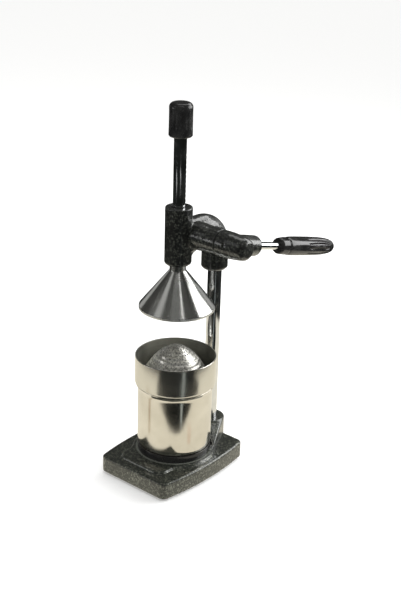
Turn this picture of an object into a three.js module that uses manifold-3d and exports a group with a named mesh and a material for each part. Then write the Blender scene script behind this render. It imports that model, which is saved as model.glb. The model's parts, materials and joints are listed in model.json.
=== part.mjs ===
// Hand lever citrus press: a rack and pinion ram with a bell shaped presser over a strainer cup.
// Millimetres, +Z up. The feet stand on z = 0. The ram, the cup and its seat share one upright
// axis, the press axis; the column stands behind it (+Y) and the lever turns on its right (+X).
import * as THREE from 'three';
import { mergeVertices } from 'three/addons/utils/BufferGeometryUtils.js';
import { ConvexGeometry } from 'three/addons/geometries/ConvexGeometry.js';
import Module from 'manifold-3d';

const wasm = await Module();
wasm.setup();

// ---------------------------------------------------------------- driving dimensions

const GAP = 0.3;                  // play between neighbouring pieces
const FINE = 36;                  // facets round the large turned pieces
const MEDIUM = 24;                // facets round tubes and shafts
const COARSE = 12;                // facets round screws and small holes
const RIGHT_ANGLE = Math.PI / 2;

const FOOT = { radius: 8.5, height: 3.8, screwHole: 2.2, recessRadius: 4.6, recessDepth: 2.2 };
const FOOT_X = 47;
const FRONT_FOOT_Y = -70;
const REAR_FOOT_Y = 64;
const FOOT_SCREW_TOP = 15;

const BASE = {
  halfWidth: 59.3, bow: 6.5, front: -85.5, rear: 81.3, corner: 9,
  bottom: 4, top: 26.9, edge: 2.4, wall: 6.5, rib: 3, roof: 7,
};
const PLATFORM = { radius: 57, top: 30, tongueHalf: 39, tongueFront: -72, corner: 14, blend: 36, edge: 1.2 };
const SEAT_CLEARANCE_RADIUS = 53;

const COLUMN = { y: 76.8, radius: 9.6, wall: 2, bottom: 16.3, top: 306 };
const BASE_BOSS = { radius: 20.8, top: 48.5, edge: 1.8, counterbore: 9.5, shelf: 13 };
const BOLT = { radius: 4, headRadius: 7.4, headBottom: 5.6, headTop: 10.9, tip: 31 };
const PLUG_LENGTH = 20;

const SEAT = { inner: 30, outer: 50.4, top: 40, lip: 0.8 };
const CUP = {
  radius: 50.8, bottom: 33.5, corner: 14, shoulder: 118, rim: 130.6, rimRadius: 54.2, sheet: 1.2,
};
const COLLAR = { radius: 55, bottom: 131.2, top: 170.4, spigotBottom: 119, sheet: 1.2 };
const REAMER = { flange: 53.3, bottom: COLLAR.bottom + COLLAR.sheet + GAP, sheet: 1.5, drainRadius: 1 };

const HEAD = {
  tubeRadius: 18, tubeBottom: 300, tubeTop: 378.6, bore: 11.5,
  armRadius: 17.4, armZ: 340.5, bend: 34,
};
const HEAD_BOSS = { radius: 18.2, forward: 1.2, bottom: 275, chamfer: 3 };
const BUSH = { outer: 11.3, inner: 8.45, length: 21.5, topRecess: 0.6, bottomRecess: 2.4 };
const HEAD_SCREW = { z: 290, bore: 3.2, radius: 2.9 };
const BUSH_SCREW = { x: 49, bore: 2.7, radius: 2.4, length: 3.6 };

const MODULE = 2;
const TEETH = 11;
const PRESSURE_ANGLE = THREE.MathUtils.degToRad(20);
const BACKLASH = 0.5;
const PITCH_RADIUS = MODULE * TEETH / 2;
const PINION = { y: 17, z: 340, outer: 13, root: 9.2, halfWidth: 7.2, hubRadius: 9.2, hubEnd: 16 };
const HOUSING = { start: 14, end: 58.5, bore: 13.4, bushStart: 40, innerEnd: -22 };
const GUSSET = { low: 308, root: 2, halfThickness: 6, forward: 5 };
const SHAFT = { radius: 6, start: -17.8, end: 90, play: 0.15 };
const PIN = { x: 11.6, radius: 1.5, bore: 1.7 };

const RACK = { radius: 8.25, bottom: 296, top: 499, tipDepth: 7.3, rootDepth: 3.5 };
const TRAVEL = 91;
const CAP = { radius: 15.3, bottom: 470.5, top: 513.7 };
const BELL_SCREW = { head: 6, headDepth: 3.2, shank: 3, tip: 312 };
const BELL = {
  neck: 10.6, neckTop: 301.2, neckBottom: 293, rim: 50.8,
  rimTop: 243, bottom: 238.8, wall: 2.2, web: 288,
};

const LEVER = {
  x: 74, angle: THREE.MathUtils.degToRad(-14.4), length: 237, boss: 50.5,
  rod: 5.2, rodStart: 16, gripStart: 103.5, boreEnd: 220,
};
const HUB_SCREW = { bore: 3.2, radius: 2.9, length: 9 };

const PAINT = { color: 0x2b2f2c, roughness: 0.35, metalness: 0.4 };
const CHROME = { color: 0xd9dcdd, roughness: 0.12, metalness: 1 };
const STAINLESS = { color: 0xcfcabc, roughness: 0.18, metalness: 1 };
const SATIN = { color: 0xb4b3ac, roughness: 0.35, metalness: 1 };
const STEEL = { color: 0x9a9c9e, roughness: 0.4, metalness: 1 };
const BRONZE = { color: 0xa97c45, roughness: 0.45, metalness: 1 };
const BLACK = { color: 0x141414, roughness: 0.35, metalness: 0 };
const RUBBER = { color: 0x1a1a1a, roughness: 0.8, metalness: 0 };

// ---------------------------------------------------------------- geometry helpers

// Shares the vertices, drops the flat triangles at a lathe's poles and turns the faces outwards.
function closed(geometry) {
  const bare = geometry.clone();
  bare.deleteAttribute('normal');
  bare.deleteAttribute('uv');
  const merged = mergeVertices(bare, 1e-4);
  const corner = merged.index.array;
  const faces = [];
  for (let i = 0; i < corner.length; i += 3) {
    const [a, b, c] = corner.slice(i, i + 3);
    if (a !== b && b !== c && c !== a) faces.push(a, b, c);
  }
  if (signedVolume(merged.attributes.position, faces) < 0) faces.reverse();
  merged.setIndex(faces);
  return merged;
}

function signedVolume(position, faces) {
  const [a, b, c] = [new THREE.Vector3(), new THREE.Vector3(), new THREE.Vector3()];
  let volume = 0;
  for (let i = 0; i < faces.length; i += 3) {
    a.fromBufferAttribute(position, faces[i]);
    b.fromBufferAttribute(position, faces[i + 1]);
    c.fromBufferAttribute(position, faces[i + 2]);
    volume += a.dot(b.cross(c)) / 6;
  }
  return volume;
}

function solid(geometry) {
  const { attributes, index } = closed(geometry);
  const vertProperties = new Float32Array(attributes.position.array);
  const triVerts = new Uint32Array(index.array);
  return new wasm.Manifold(new wasm.Mesh({ numProp: 3, vertProperties, triVerts }));
}

function fromSolid(manifold) {
  const mesh = manifold.getMesh();
  const geometry = new THREE.BufferGeometry();
  geometry.setAttribute('position', new THREE.BufferAttribute(new Float32Array(mesh.vertProperties), 3));
  geometry.setIndex(new THREE.BufferAttribute(new Uint32Array(mesh.triVerts), 1));
  return geometry;
}

function join(...pieces) {
  return fromSolid(pieces.map(solid).reduce((whole, piece) => whole.add(piece)));
}

function cut(body, ...tools) {
  return fromSolid(tools.map(solid).reduce((rest, tool) => rest.subtract(tool), solid(body)));
}

// Turns a profile of [radius, height] points about Z.
function turned(profile, facets = FINE) {
  const points = profile.map(([radius, height]) => new THREE.Vector2(radius, height));
  return closed(new THREE.LatheGeometry(points, facets).rotateX(RIGHT_ANGLE));
}

function rod(radius, from, to, facets = MEDIUM, chamfer = 0) {
  return turned([
    [0, from], [radius - chamfer, from], [radius, from + chamfer],
    [radius, to - chamfer], [radius - chamfer, to], [0, to],
  ], facets);
}

function tube(outer, inner, from, to, facets = MEDIUM) {
  return turned([[outer, from], [outer, to], [inner, to], [inner, from], [outer, from]], facets);
}

// Closes an open line of [radius, height] points into a sheet of even thickness on its inner side.
// The line runs upwards on the outside of the piece.
function sheet(line, thickness) {
  const inner = line.map(([radius, height], i) => {
    const [r0, h0] = line[Math.max(i - 1, 0)];
    const [r1, h1] = line[Math.min(i + 1, line.length - 1)];
    const run = Math.hypot(r1 - r0, h1 - h0);
    const shifted = radius - thickness * (h1 - h0) / run;
    return [radius === 0 ? 0 : shifted, height + thickness * (r1 - r0) / run];
  });
  const loop = [...line, ...inner.reverse()];
  return line.some(([radius]) => radius === 0) ? loop : [...loop, line[0]];
}

function arc(x, y, radius, from, to, steps) {
  return Array.from({ length: steps + 1 }, (_, i) => {
    const angle = from + (to - from) * i / steps;
    return [x + radius * Math.cos(angle), y + radius * Math.sin(angle)];
  });
}

function asShape(points) {
  return new THREE.Shape(points.map(([x, y]) => new THREE.Vector2(x, y)));
}

function prism(points, from, to) {
  const extrusion = new THREE.ExtrudeGeometry(asShape(points), { depth: to - from, bevelEnabled: false });
  return extrusion.translate(0, 0, from);
}

// A slab with a rounded top edge and a sharp bottom edge.
function slab(points, bottom, top, edge) {
  const rounded = new THREE.ExtrudeGeometry(asShape(points), {
    depth: top - bottom, bevelThickness: edge, bevelSize: edge, bevelOffset: -edge, bevelSegments: 3,
  }).translate(0, 0, bottom - edge);
  const below = new THREE.BoxGeometry(400, 400, 20).translate(0, 0, bottom - 10);
  return cut(rounded, below);
}

function alongX(geometry) {
  return geometry.rotateY(RIGHT_ANGLE);
}

function alongY(geometry) {
  return geometry.rotateX(-RIGHT_ANGLE);
}

// ---------------------------------------------------------------- base

function plateOutline() {
  const { halfWidth, bow, front, rear, corner } = BASE;
  const middle = (front + rear) / 2;
  const half = (rear - front) / 2 - corner;
  const side = Array.from({ length: 7 }, (_, i) => {
    const along = -1 + (i + 1) / 4;
    return [halfWidth + bow * (1 - along * along), middle + half * along];
  });
  const right = [
    ...arc(halfWidth - corner, front + corner, corner, -RIGHT_ANGLE, 0, 5),
    ...side,
    ...arc(halfWidth - corner, rear - corner, corner, 0, RIGHT_ANGLE, 5),
  ];
  const left = right.map(([x, y]) => [-x, y]).reverse();
  return [...right, ...left];
}

// A round seat for the cup with a tongue towards the front, joined by two hollow blends.
function platformOutline() {
  const { radius, tongueHalf, tongueFront, corner, blend } = PLATFORM;
  const blendX = tongueHalf + blend;
  const blendY = -Math.sqrt((radius + blend) ** 2 - blendX ** 2);
  const meeting = Math.atan2(blendY, blendX);
  const right = [
    ...arc(tongueHalf - corner, tongueFront + corner, corner, -RIGHT_ANGLE, 0, 5),
    ...arc(blendX, blendY, blend, Math.PI, Math.PI + meeting, 4),
    ...arc(0, 0, radius, meeting, RIGHT_ANGLE, 14).slice(1, -1),
  ];
  const left = right.map(([x, y]) => [-x, y]).reverse();
  return [...right, [0, radius], ...left];
}

// The web that carries the column boss slopes down and widens to the round seat.
function ramp() {
  const { radius, top, edge } = BASE_BOSS;
  const foot = arc(0, 0, PLATFORM.radius - PLATFORM.edge, 0.7, Math.PI - 0.7, 10);
  const crown = arc(0, COLUMN.y, radius, 0, 2 * Math.PI, 20);
  const points = [
    ...foot.flatMap(([x, y]) => [[x, y, BASE.top - 1], [x, y, PLATFORM.top]]),
    ...crown.flatMap(([x, y]) => [[x, y, BASE.top - 1], [x, y, top - edge]]),
  ];
  return new ConvexGeometry(points.map((point) => new THREE.Vector3(...point)));
}

function pocket(left, right, front, rear) {
  const corner = 5;
  const outline = [
    ...arc(right - corner, front + corner, corner, -RIGHT_ANGLE, 0, 3),
    ...arc(right - corner, rear - corner, corner, 0, RIGHT_ANGLE, 3),
    ...arc(left + corner, rear - corner, corner, RIGHT_ANGLE, Math.PI, 3),
    ...arc(left + corner, front + corner, corner, Math.PI, Math.PI + RIGHT_ANGLE, 3),
  ];
  return prism(outline, BASE.bottom - 1, BASE.top - BASE.roof);
}

// Six cells under the plate, divided by ribs. The front pair leaves a boss for each front foot.
function pockets() {
  const outer = BASE.halfWidth - BASE.wall;
  const rows = [[BASE.front + BASE.wall, -31], [-25, 16], [22, 56]];
  const cells = rows.flatMap(([front, rear]) => [
    pocket(-outer, -BASE.rib, front, rear),
    pocket(BASE.rib, outer, front, rear),
  ]);
  const footBosses = [-FOOT_X, FOOT_X].map((x) =>
    rod(FOOT.radius + 1, 0, BASE.top, COARSE).translate(x, FRONT_FOOT_Y, 0));
  return cells.map((cell) => cut(cell, ...footBosses));
}

function footPlaces() {
  return [
    ['front_left', -FOOT_X, FRONT_FOOT_Y], ['front_right', FOOT_X, FRONT_FOOT_Y],
    ['rear_left', -FOOT_X, REAR_FOOT_Y], ['rear_right', FOOT_X, REAR_FOOT_Y],
  ];
}

function baseCasting() {
  const boss = turned([
    [0, BASE.bottom], [BASE_BOSS.radius, BASE.bottom], [BASE_BOSS.radius, BASE_BOSS.top - BASE_BOSS.edge],
    [BASE_BOSS.radius - BASE_BOSS.edge, BASE_BOSS.top], [0, BASE_BOSS.top],
  ], MEDIUM).translate(0, COLUMN.y, 0);
  const body = join(
    slab(plateOutline(), BASE.bottom, BASE.top, BASE.edge),
    slab(platformOutline(), BASE.top - 1, PLATFORM.top, PLATFORM.edge),
    ramp(),
    boss,
  );
  const columnHoles = [
    rod(COLUMN.radius + GAP, COLUMN.bottom - GAP, 60),
    rod(BOLT.radius + GAP, 0, COLUMN.bottom, COARSE),
    rod(BASE_BOSS.counterbore, 0, BASE_BOSS.shelf),
  ].map((hole) => hole.translate(0, COLUMN.y, 0));
  const screwHoles = footPlaces().map(([, x, y]) =>
    rod(FOOT.screwHole, 0, FOOT_SCREW_TOP + 1, COARSE).translate(x, y, 0));
  const seatSpace = rod(SEAT_CLEARANCE_RADIUS, PLATFORM.top, 60, FINE);
  return cut(body, seatSpace, ...pockets(), ...columnHoles, ...screwHoles);
}

function rubberFoot() {
  const { radius, height, screwHole, recessRadius, recessDepth } = FOOT;
  return turned([
    [recessRadius, 0], [radius - 1, 0], [radius, height], [screwHole, height],
    [screwHole, recessDepth], [recessRadius, recessDepth], [recessRadius, 0],
  ], 16);
}

function footScrew() {
  const head = FOOT.recessRadius - 1;
  const shank = FOOT.screwHole - GAP;
  return turned([
    [0, 0.5], [head - 0.5, 0.5], [head, 1], [head, FOOT.recessDepth - 0.1],
    [shank, FOOT.recessDepth - 0.1], [shank, FOOT_SCREW_TOP], [0, FOOT_SCREW_TOP],
  ], COARSE);
}

// ---------------------------------------------------------------- cup, strainer and seat

function cupCorner(growth) {
  const inset = CUP.radius - CUP.corner;
  return arc(inset, CUP.bottom + CUP.corner, CUP.corner + growth, -RIGHT_ANGLE, 0, 4);
}

function cupSeatRing() {
  const { inner, outer, top, lip } = SEAT;
  const bottom = PLATFORM.top + GAP / 2;
  const cradle = cupCorner(GAP).filter(([, z]) => z < top).reverse();
  return turned([
    [inner, bottom], [outer, bottom], [outer, top - lip], [outer - lip, top], [outer - lip - 0.7, top],
    ...cradle, [inner, CUP.bottom - GAP], [inner, bottom],
  ]);
}

function juiceCup() {
  const { radius, bottom, shoulder, rim, rimRadius, sheet: thickness } = CUP;
  const flare = (rimRadius - radius) / 2;
  const line = [
    [0, bottom], ...cupCorner(0), [radius, shoulder - 4], [radius + flare * 0.5, shoulder],
    [rimRadius - flare * 0.5, shoulder + 6], [rimRadius, rim - 2], [rimRadius, rim],
  ];
  return turned(sheet(line, thickness));
}

function strainerCollar() {
  const { radius, bottom, top, spigotBottom, sheet: thickness } = COLLAR;
  const spigot = CUP.radius - CUP.sheet - GAP;
  const inside = radius - thickness;
  return turned([
    [spigot, spigotBottom], [spigot, bottom], [radius, bottom], [radius, top - 0.6], [radius - 0.3, top],
    [inside + 0.3, top], [inside, top - 0.6], [inside, bottom + thickness],
    [spigot - thickness, bottom + thickness], [spigot - thickness, spigotBottom], [spigot, spigotBottom],
  ]);
}

// The dome's flank has three raised rings. Juice leaves through rows of small holes.
function reamerDome() {
  const { flange, bottom, sheet: thickness, drainRadius } = REAMER;
  const line = [
    [flange, bottom], [flange, bottom + 1.6], [49.8, bottom + 1.8], [48.6, 139.5], [46.4, 141.5],
    [44.4, 144.5], [42, 147], [39.6, 150], [37, 152.8], [34.4, 156], [29, 163], [23, 171], [16, 178.4],
    [9, 182.2], [0, 183],
  ];
  const inner = sheet(line.slice(2), thickness).slice(line.length - 2);
  const dome = turned([...line, ...inner, [48, bottom], [flange, bottom]], 30);
  const rows = [[8, 6], [18, 10]];
  const drains = rows.flatMap(([radius, count]) => Array.from({ length: count }, (_, i) => {
    const angle = 2 * Math.PI * i / count;
    return rod(drainRadius, 160, 190, 5).translate(radius * Math.cos(angle), radius * Math.sin(angle), 0);
  }));
  return cut(dome, ...drains);
}

// ---------------------------------------------------------------- column

function columnTube() {
  return tube(COLUMN.radius, COLUMN.radius - COLUMN.wall, COLUMN.bottom, COLUMN.top);
}

function columnPlug() {
  const outer = COLUMN.radius - COLUMN.wall - GAP / 2;
  const inner = BOLT.radius + 0.15;
  return tube(outer, inner, COLUMN.bottom + 0.1, COLUMN.bottom + PLUG_LENGTH, COARSE);
}

function columnBolt() {
  const head = rod(BOLT.headRadius, BOLT.headBottom, BOLT.headTop, 6);
  return join(head, rod(BOLT.radius, BOLT.headTop - 1, BOLT.tip, COARSE, 0.6));
}

function columnWasher() {
  const bottom = BOLT.headTop + 0.2;
  const top = BASE_BOSS.shelf - 0.2;
  return tube(BASE_BOSS.counterbore - 1, BOLT.radius + GAP, bottom, top, COARSE);
}

// ---------------------------------------------------------------- head

// The arm leaves the guide tube level and bends down to the column.
class ArmPath extends THREE.Curve {
  getPoint(t) {
    const level = COLUMN.y - HEAD.bend;
    const bendLength = HEAD.bend * RIGHT_ANGLE;
    const drop = 10;
    const along = t * (level + bendLength + drop);
    if (along < level) return new THREE.Vector3(0, along, HEAD.armZ);
    if (along > level + bendLength) {
      const below = along - level - bendLength;
      return new THREE.Vector3(0, COLUMN.y, HEAD.armZ - HEAD.bend - below);
    }
    const angle = (along - level) / HEAD.bend;
    const y = level + HEAD.bend * Math.sin(angle);
    return new THREE.Vector3(0, y, HEAD.armZ - HEAD.bend * (1 - Math.cos(angle)));
  }
}

function arm() {
  const section = asShape(arc(0, 0, HEAD.armRadius, 0, 2 * Math.PI, MEDIUM).slice(0, -1));
  return new THREE.ExtrudeGeometry(section, { steps: 14, extrudePath: new ArmPath(), bevelEnabled: false });
}

function onPinionAxis(profile, facets = MEDIUM) {
  return alongX(turned(profile, facets)).translate(0, PINION.y, PINION.z);
}

function pinionHousing() {
  const { start, end, innerEnd } = HOUSING;
  return onPinionAxis([
    [0, innerEnd], [10.5, innerEnd], [12.5, innerEnd + 2], [12.5, start], [17.7, start], [18.5, start + 0.8],
    [18.5, start + 12], [17.3, start + 28], [17.3, end - 0.8], [16.5, end], [0, end],
  ]);
}

// A small hollow web between the guide tube and the underside of the housing.
function gusset() {
  const { low, root, halfThickness, forward } = GUSSET;
  const high = PINION.z - 15;
  const outline = [
    [root, low], [8.6, low], [9.6, low + 2.5], [11.2, low + 5.2], [13.4, low + 7.8],
    [16.2, low + 10.4], [19.4, low + 13], [19.4, high], [root, high],
  ];
  const web = prism(outline, -halfThickness, halfThickness).rotateX(RIGHT_ANGLE);
  return web.translate(0, PINION.y - forward, 0);
}

function grubScrew(radius, length) {
  const socket = rod(radius * 0.45, length - 2, length + 1, 6);
  return cut(rod(radius, 0, length, COARSE, 0.4), socket);
}

function headCasting() {
  const guide = turned([
    [0, HEAD.tubeBottom], [HEAD.tubeRadius - 3, HEAD.tubeBottom], [HEAD.tubeRadius, HEAD.tubeBottom + 3],
    [HEAD.tubeRadius, HEAD.tubeTop - 1], [HEAD.tubeRadius - 1, HEAD.tubeTop], [0, HEAD.tubeTop],
  ], MEDIUM);
  const { radius, forward, bottom, chamfer } = HEAD_BOSS;
  const bossTop = HEAD.armZ - HEAD.bend + 2;
  const boss = turned([
    [0, bottom], [radius - chamfer, bottom], [radius, bottom + chamfer], [radius, bossTop - 1],
    [radius - 1, bossTop], [0, bossTop],
  ], MEDIUM).translate(0, COLUMN.y - forward, 0);
  const body = join(guide, arm(), boss, pinionHousing(), gusset());
  const { bore, innerEnd, end } = HOUSING;
  const pinionSide = -PINION.halfWidth - 0.8;
  return cut(
    body,
    rod(HEAD.bore, 200, 400),
    rod(COLUMN.radius + GAP, 200, COLUMN.top + GAP).translate(0, COLUMN.y, 0),
    onPinionAxis([[0, pinionSide], [bore, pinionSide], [bore, end + 5], [0, end + 5]]),
    onPinionAxis([[0, innerEnd + 3.5], [8.7, innerEnd + 3.5], [8.7, 0], [0, 0]]),
    alongY(rod(HEAD_SCREW.bore, 0, 40, COARSE)).translate(0, COLUMN.y, HEAD_SCREW.z),
    rod(BUSH_SCREW.bore, PINION.z - 40, PINION.z, COARSE).translate(BUSH_SCREW.x, PINION.y, 0),
  );
}

function headSetScrew() {
  const start = COLUMN.radius + 0.2;
  const screw = alongY(grubScrew(HEAD_SCREW.radius, HEAD_BOSS.radius - HEAD_BOSS.forward - start - 0.5));
  return screw.translate(0, COLUMN.y + start, HEAD_SCREW.z);
}

function bushSetScrew() {
  const screw = grubScrew(BUSH_SCREW.radius, BUSH_SCREW.length).rotateX(Math.PI);
  return screw.translate(BUSH_SCREW.x, PINION.y, PINION.z - HOUSING.bore - 0.1);
}

function lowerGuideBush() {
  const from = HEAD.tubeBottom + BUSH.bottomRecess;
  return tube(BUSH.outer, BUSH.inner, from, from + BUSH.length);
}

function upperGuideBush() {
  const to = HEAD.tubeTop - BUSH.topRecess;
  return tube(BUSH.outer, BUSH.inner, to - BUSH.length + 1.5, to);
}

function shaftBush(outer, from, to) {
  const inner = SHAFT.radius + SHAFT.play;
  return onPinionAxis([[outer, from], [outer, to], [inner, to], [inner, from], [outer, from]]);
}

// ---------------------------------------------------------------- rack and pinion

function involute(angle) {
  return Math.tan(angle) - angle;
}

// Half of a tooth's angular width at a radius outside the base circle.
function toothHalfAngle(radius, baseRadius) {
  const pitchThickness = Math.PI * MODULE / 2 - BACKLASH / 2;
  const here = Math.acos(Math.min(baseRadius / radius, 1));
  return pitchThickness / (2 * PITCH_RADIUS) + involute(PRESSURE_ANGLE) - involute(here);
}

function pinionOutline() {
  const baseRadius = PITCH_RADIUS * Math.cos(PRESSURE_ANGLE);
  const flank = [0, 0.25, 0.6, 1].map((part) => baseRadius + (PINION.outer - baseRadius) * part);
  const radii = [PINION.root, ...flank];
  const outline = [];
  for (let tooth = 0; tooth < TEETH; tooth += 1) {
    const middle = -RIGHT_ANGLE + 2 * Math.PI * tooth / TEETH;
    const side = radii.map((radius) => [radius, toothHalfAngle(Math.max(radius, baseRadius), baseRadius)]);
    const rising = side.map(([radius, half]) => [radius, middle - half]);
    const falling = side.map(([radius, half]) => [radius, middle + half]).reverse();
    for (const [radius, angle] of [...rising, ...falling]) {
      outline.push([radius * Math.cos(angle), radius * Math.sin(angle)]);
    }
  }
  return outline;
}

function pinionGear() {
  const { halfWidth, hubRadius, hubEnd } = PINION;
  const blank = join(
    prism(pinionOutline(), -halfWidth, halfWidth),
    rod(hubRadius, halfWidth - 1, hubEnd, MEDIUM),
  );
  const bore = rod(SHAFT.radius + SHAFT.play, -20, 40);
  return cut(alongX(cut(blank, bore)), pinHole());
}

function pinHole() {
  return rod(PIN.bore, -20, 20, COARSE).translate(PIN.x, 0, 0);
}

// The flat on the shaft is where the hub's set screw bears.
function pinionShaft() {
  const shaft = alongX(rod(SHAFT.radius, SHAFT.start, SHAFT.end, MEDIUM, 0.6));
  const flat = new THREE.BoxGeometry(8, 2, 8).translate(LEVER.x, -SHAFT.radius + 0.2, 0);
  return cut(shaft, pinHole(), flat.rotateX(LEVER.angle));
}

function pinionPin() {
  return rod(PIN.radius, -PINION.hubRadius, PINION.hubRadius, COARSE, 0.3).translate(PIN.x, 0, 0);
}

// The rack's tooth spaces as one comb: its spine flattens the rod behind the tooth tips.
function rackComb() {
  const pitch = Math.PI * MODULE;
  const pitchDepth = PINION.y - PITCH_RADIUS;
  const slope = Math.tan(PRESSURE_ANGLE);
  const pitchHalf = pitch / 4 + BACKLASH / 4;
  const tipHalf = pitchHalf + (RACK.tipDepth - pitchDepth) * slope;
  const rootHalf = pitchHalf - (pitchDepth - RACK.rootDepth) * slope;
  const below = 2;
  const above = Math.ceil(TRAVEL / pitch) + 2;
  const teeth = [];
  for (let i = -below; i <= above; i += 1) {
    const middle = PINION.z + i * pitch;
    teeth.push(
      [RACK.tipDepth, middle - tipHalf], [RACK.rootDepth, middle - rootHalf],
      [RACK.rootDepth, middle + rootHalf], [RACK.tipDepth, middle + tipHalf],
    );
  }
  const spine = RACK.radius + 1;
  const first = PINION.z - (below + 0.5) * pitch;
  const last = PINION.z + (above + 0.5) * pitch;
  const outline = [[spine, first], [RACK.tipDepth, first], ...teeth, [RACK.tipDepth, last], [spine, last]];
  return alongX(prism(outline.map(([y, z]) => [-z, y]), -10, 10));
}

function rackRod() {
  const { radius, bottom, top } = RACK;
  const bar = turned([
    [0, bottom], [radius - 0.5, bottom], [radius, bottom + 0.5],
    [radius, top - 1], [radius - 1, top], [0, top],
  ], MEDIUM);
  return cut(bar, rackComb(), rod(BELL_SCREW.shank + GAP, bottom - 5, BELL_SCREW.tip + 1, COARSE));
}

// ---------------------------------------------------------------- ram pieces

function rodCap() {
  const { radius, bottom, top } = CAP;
  const edge = 4.5;
  const inner = RACK.radius + 0.2;
  const ceiling = RACK.top + 0.5;
  const crown = arc(radius - edge, top - edge, edge, 0, RIGHT_ANGLE, 4);
  return turned([
    [0, ceiling], [inner, ceiling], [inner, bottom], [radius - 1.2, bottom], [radius, bottom + 1.2],
    ...crown, [0, top],
  ], MEDIUM);
}

function pressBell() {
  const { neck, neckTop, neckBottom, rim, rimTop, bottom, wall, web } = BELL;
  const run = Math.hypot(rim - neck, neckBottom - rimTop);
  const inward = wall * (neckBottom - rimTop) / run;
  const downward = wall * (rim - neck) / run;
  const slope = (rim - neck) / (neckBottom - rimTop);
  const webRadius = neck - inward + (neckBottom - downward - web) * slope;
  const socket = RACK.radius + 0.2;
  const sink = BELL_SCREW.head + 0.2;
  return turned([
    [rim - wall, bottom], [rim, bottom], [rim, rimTop - 1], [rim - 1.2, rimTop + 1.2],
    [neck, neckBottom], [neck, neckTop], [socket, neckTop], [socket, RACK.bottom - GAP],
    [BELL_SCREW.shank + GAP, RACK.bottom - GAP], [BELL_SCREW.shank + GAP, web + BELL_SCREW.headDepth + 0.2],
    [sink, web], [webRadius, web], [rim - inward, rimTop - downward], [rim - wall, rimTop - downward - 1.5],
    [rim - wall, bottom],
  ]);
}

function bellScrew() {
  const { head, headDepth, shank, tip } = BELL_SCREW;
  const bottom = BELL.web + 0.1;
  return turned([
    [0, bottom], [head, bottom], [shank, bottom + headDepth], [shank, tip], [0, tip],
  ], COARSE);
}

// ---------------------------------------------------------------- lever

// Lever pieces are modelled with the shaft's axis on X and the lever pointing along +Y.
function leverHub() {
  const inner = HOUSING.end + 0.6 - LEVER.x;
  const barrel = alongX(turned([
    [0, inner], [16.6, inner], [17.3, inner + 0.8], [17.3, 0], [16.6, 8], [15.8, 14], [15, 21], [13.7, 25],
    [10.5, 28], [6, 29.4], [0, 29.8],
  ], MEDIUM));
  const boss = alongY(turned([
    [0, 0], [14.4, 0], [14.2, 30], [13.6, LEVER.boss - 2.5], [11.4, LEVER.boss], [0, LEVER.boss],
  ], MEDIUM));
  const shaftBore = alongX(rod(SHAFT.radius + SHAFT.play, inner - 5, SHAFT.end + GAP - LEVER.x));
  const rodBore = alongY(rod(LEVER.rod + 0.15, LEVER.rodStart - GAP, LEVER.boss + 5, COARSE));
  const screwBore = alongY(rod(HUB_SCREW.bore, -40, 0, COARSE));
  return cut(join(barrel, boss), shaftBore, rodBore, screwBore);
}

function hubSetScrew() {
  const seat = SHAFT.radius - 0.6;
  return alongY(grubScrew(HUB_SCREW.radius, HUB_SCREW.length).rotateX(Math.PI)).translate(0, -seat, 0);
}

function leverRod() {
  return alongY(rod(LEVER.rod, LEVER.rodStart, LEVER.boreEnd - 1, COARSE, 0.6));
}

function leverGrip() {
  const { gripStart, length, boreEnd } = LEVER;
  const bore = LEVER.rod + 0.15;
  return alongY(turned([
    [bore, gripStart], [10, gripStart], [11.3, gripStart + 2], [12.2, gripStart + 14], [11.5, gripStart + 16],
    [12.3, gripStart + 18], [13, gripStart + 32], [13.1, gripStart + 50], [12.8, gripStart + 90],
    [11.7, gripStart + 110], [9.6, gripStart + 121], [6.2, length - 3.5], [2.5, length - 0.5], [0, length],
    [0, boreEnd], [bore, boreEnd], [bore, gripStart],
  ], MEDIUM));
}

// ---------------------------------------------------------------- assembly

function piece(name, geometry, finish) {
  const mesh = new THREE.Mesh(closed(geometry), new THREE.MeshStandardMaterial(finish));
  mesh.name = name;
  return mesh;
}

function gathered(position, ...meshes) {
  const group = new THREE.Group();
  group.position.set(...position);
  group.add(...meshes);
  return group;
}

const feet = footPlaces().map(([place, x, y]) => gathered(
  [x, y, 0],
  piece(`rubber_foot_${place}`, rubberFoot(), RUBBER),
  piece(`foot_screw_${place}`, footScrew(), STEEL),
));

const frame = gathered(
  [0, 0, 0],
  piece('base_casting', baseCasting(), PAINT),
  ...feet,
  piece('cup_seat_ring', cupSeatRing(), BLACK),
  piece('head_casting', headCasting(), PAINT),
  piece('head_set_screw', headSetScrew(), STEEL),
  piece('bush_set_screw', bushSetScrew(), STEEL),
  piece('lower_guide_bush', lowerGuideBush(), BLACK),
  piece('upper_guide_bush', upperGuideBush(), BLACK),
  piece('shaft_inner_bush', shaftBush(8.5, HOUSING.innerEnd + 4, -PINION.halfWidth - 1.1), BRONZE),
  piece('shaft_outer_bush', shaftBush(HOUSING.bore - 0.2, HOUSING.bushStart, HOUSING.end - 0.4), BRONZE),
);

const column = gathered(
  [0, COLUMN.y, 0],
  piece('column_tube', columnTube(), CHROME),
  piece('column_plug', columnPlug(), STEEL),
  piece('column_bolt', columnBolt(), STEEL),
  piece('column_washer', columnWasher(), STEEL),
);

const cup = gathered(
  [0, 0, 0],
  piece('juice_cup', juiceCup(), STAINLESS),
  piece('strainer_collar', strainerCollar(), STAINLESS),
  piece('reamer_dome', reamerDome(), SATIN),
);

const ram = gathered(
  [0, 0, 0],
  piece('rack_rod', rackRod(), CHROME),
  piece('rod_cap', rodCap(), BLACK),
  piece('press_bell', pressBell(), SATIN),
  piece('bell_screw', bellScrew(), STEEL),
);

const pinion = gathered(
  [0, PINION.y, PINION.z],
  piece('pinion_gear', pinionGear(), STEEL),
  piece('pinion_shaft', pinionShaft(), STEEL),
  piece('pinion_pin', pinionPin(), STEEL),
);

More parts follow.
